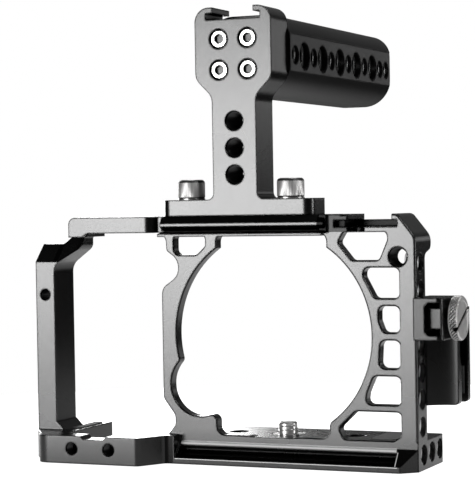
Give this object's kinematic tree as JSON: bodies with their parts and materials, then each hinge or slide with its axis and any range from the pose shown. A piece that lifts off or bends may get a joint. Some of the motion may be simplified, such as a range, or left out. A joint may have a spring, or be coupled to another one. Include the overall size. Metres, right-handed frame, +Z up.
{
  "type": "camera cage",
  "caption": "Half cage for a small mirrorless camera, with a top handle that runs back over it, two cold shoes, threaded holes and a screw-on cable clamp at the side",
  "frame": {"origin": "On the underside of the base, below the face of the front plate, halfway between the two sides to half a millimetre", "axes": "+X towards the port-side column, +Y from the lens side to the screen side, +Z up"},
  "size_m": [0.153, 0.1372, 0.153],
  "materials": {
    "anodised_black": "black anodised, satin",
    "anodised_grip": "black anodised, satin",
    "cap_plastic": "matt",
    "rubber_pad": "matt",
    "screw_steel": "bright, turned",
    "small_screw_steel": "bright",
    "spring_steel": "oiled",
    "black_screw": "black oxide",
    "knob_steel": "bright, knurled rim"
  },
  "bodies": {
    "cage": {"cage_body": "anodised_black", "base_pad_left": "rubber_pad", "base_pad_right": "rubber_pad", "handle_post": "anodised_black", "handle_grip": "anodised_grip", "grip_end_cap": "cap_plastic", "grip_screw_1": "small_screw_steel", "grip_screw_2": "small_screw_steel", "grip_screw_3": "small_screw_steel", "grip_screw_4": "small_screw_steel", "clamp_frame": "anodised_black", "clamp_channel": "anodised_black", "channel_liner_front": "rubber_pad", "channel_liner_rear": "rubber_pad", "clamp_screw_lower": "black_screw", "clamp_screw_upper": "black_screw"},
    "camera_screw_carrier": {"camera_screw_clip": "spring_steel"},
    "camera_screw_body": {"camera_screw": "screw_steel"},
    "handle_left_carrier": {"handle_washer_left": "screw_steel"},
    "handle_left_body": {"handle_screw_left": "screw_steel"},
    "handle_right_carrier": {"handle_washer_right": "screw_steel"},
    "handle_right_body": {"handle_screw_right": "screw_steel"},
    "clamp_carrier": {"clamp_washer": "black_screw"},
    "clamp_screw_body": {"clamp_knob": "knob_steel", "clamp_stud": "screw_steel"}
  },
  "joints": [
    {"name": "camera_screw_lift", "type": "slide", "parent": "cage", "child": "camera_screw_carrier", "axis": [0, 0, -1], "range_m": [0, 0.004]},
    {"name": "camera_screw_turn", "type": "hinge", "parent": "camera_screw_carrier", "child": "camera_screw_body", "pos_m": [0.0198, 0.013, 0.002], "axis": [0, 0, -1], "range_deg": [0, 1134.4]},
    {"name": "handle_screw_left_lift", "type": "slide", "parent": "cage", "child": "handle_left_carrier", "axis": [0, 0, 1], "range_m": [0, 0.006]},
    {"name": "handle_screw_left_turn", "type": "hinge", "parent": "handle_left_carrier", "child": "handle_left_body", "pos_m": [-0.0125, 0.0087, 0.092], "axis": [0, 0, 1], "range_deg": [0, 1701.3]},
    {"name": "handle_screw_right_lift", "type": "slide", "parent": "cage", "child": "handle_right_carrier", "axis": [0, 0, 1], "range_m": [0, 0.006]},
    {"name": "handle_screw_right_turn", "type": "hinge", "parent": "handle_right_carrier", "child": "handle_right_body", "pos_m": [0.0239, 0.0087, 0.092], "axis": [0, 0, 1], "range_deg": [0, 1701.3]},
    {"name": "clamp_knob_lift", "type": "slide", "parent": "cage", "child": "clamp_carrier", "axis": [1, 0, 0], "range_m": [0, 0.006]},
    {"name": "clamp_knob_turn", "type": "hinge", "parent": "clamp_carrier", "child": "clamp_screw_body", "pos_m": [0.082, 0.005, 0.04935], "axis": [1, 0, 0], "range_deg": [0, 1701.3]}
  ],
  "couplings": [
    {"joint": "camera_screw_turn", "follows": "camera_screw_lift", "rad_per_m": 4947.4},
    {"joint": "handle_screw_left_turn", "follows": "handle_screw_left_lift", "rad_per_m": 4947.4},
    {"joint": "handle_screw_right_turn", "follows": "handle_screw_right_lift", "rad_per_m": 4947.4},
    {"joint": "clamp_knob_turn", "follows": "clamp_knob_lift", "rad_per_m": 4947.4}
  ]
}
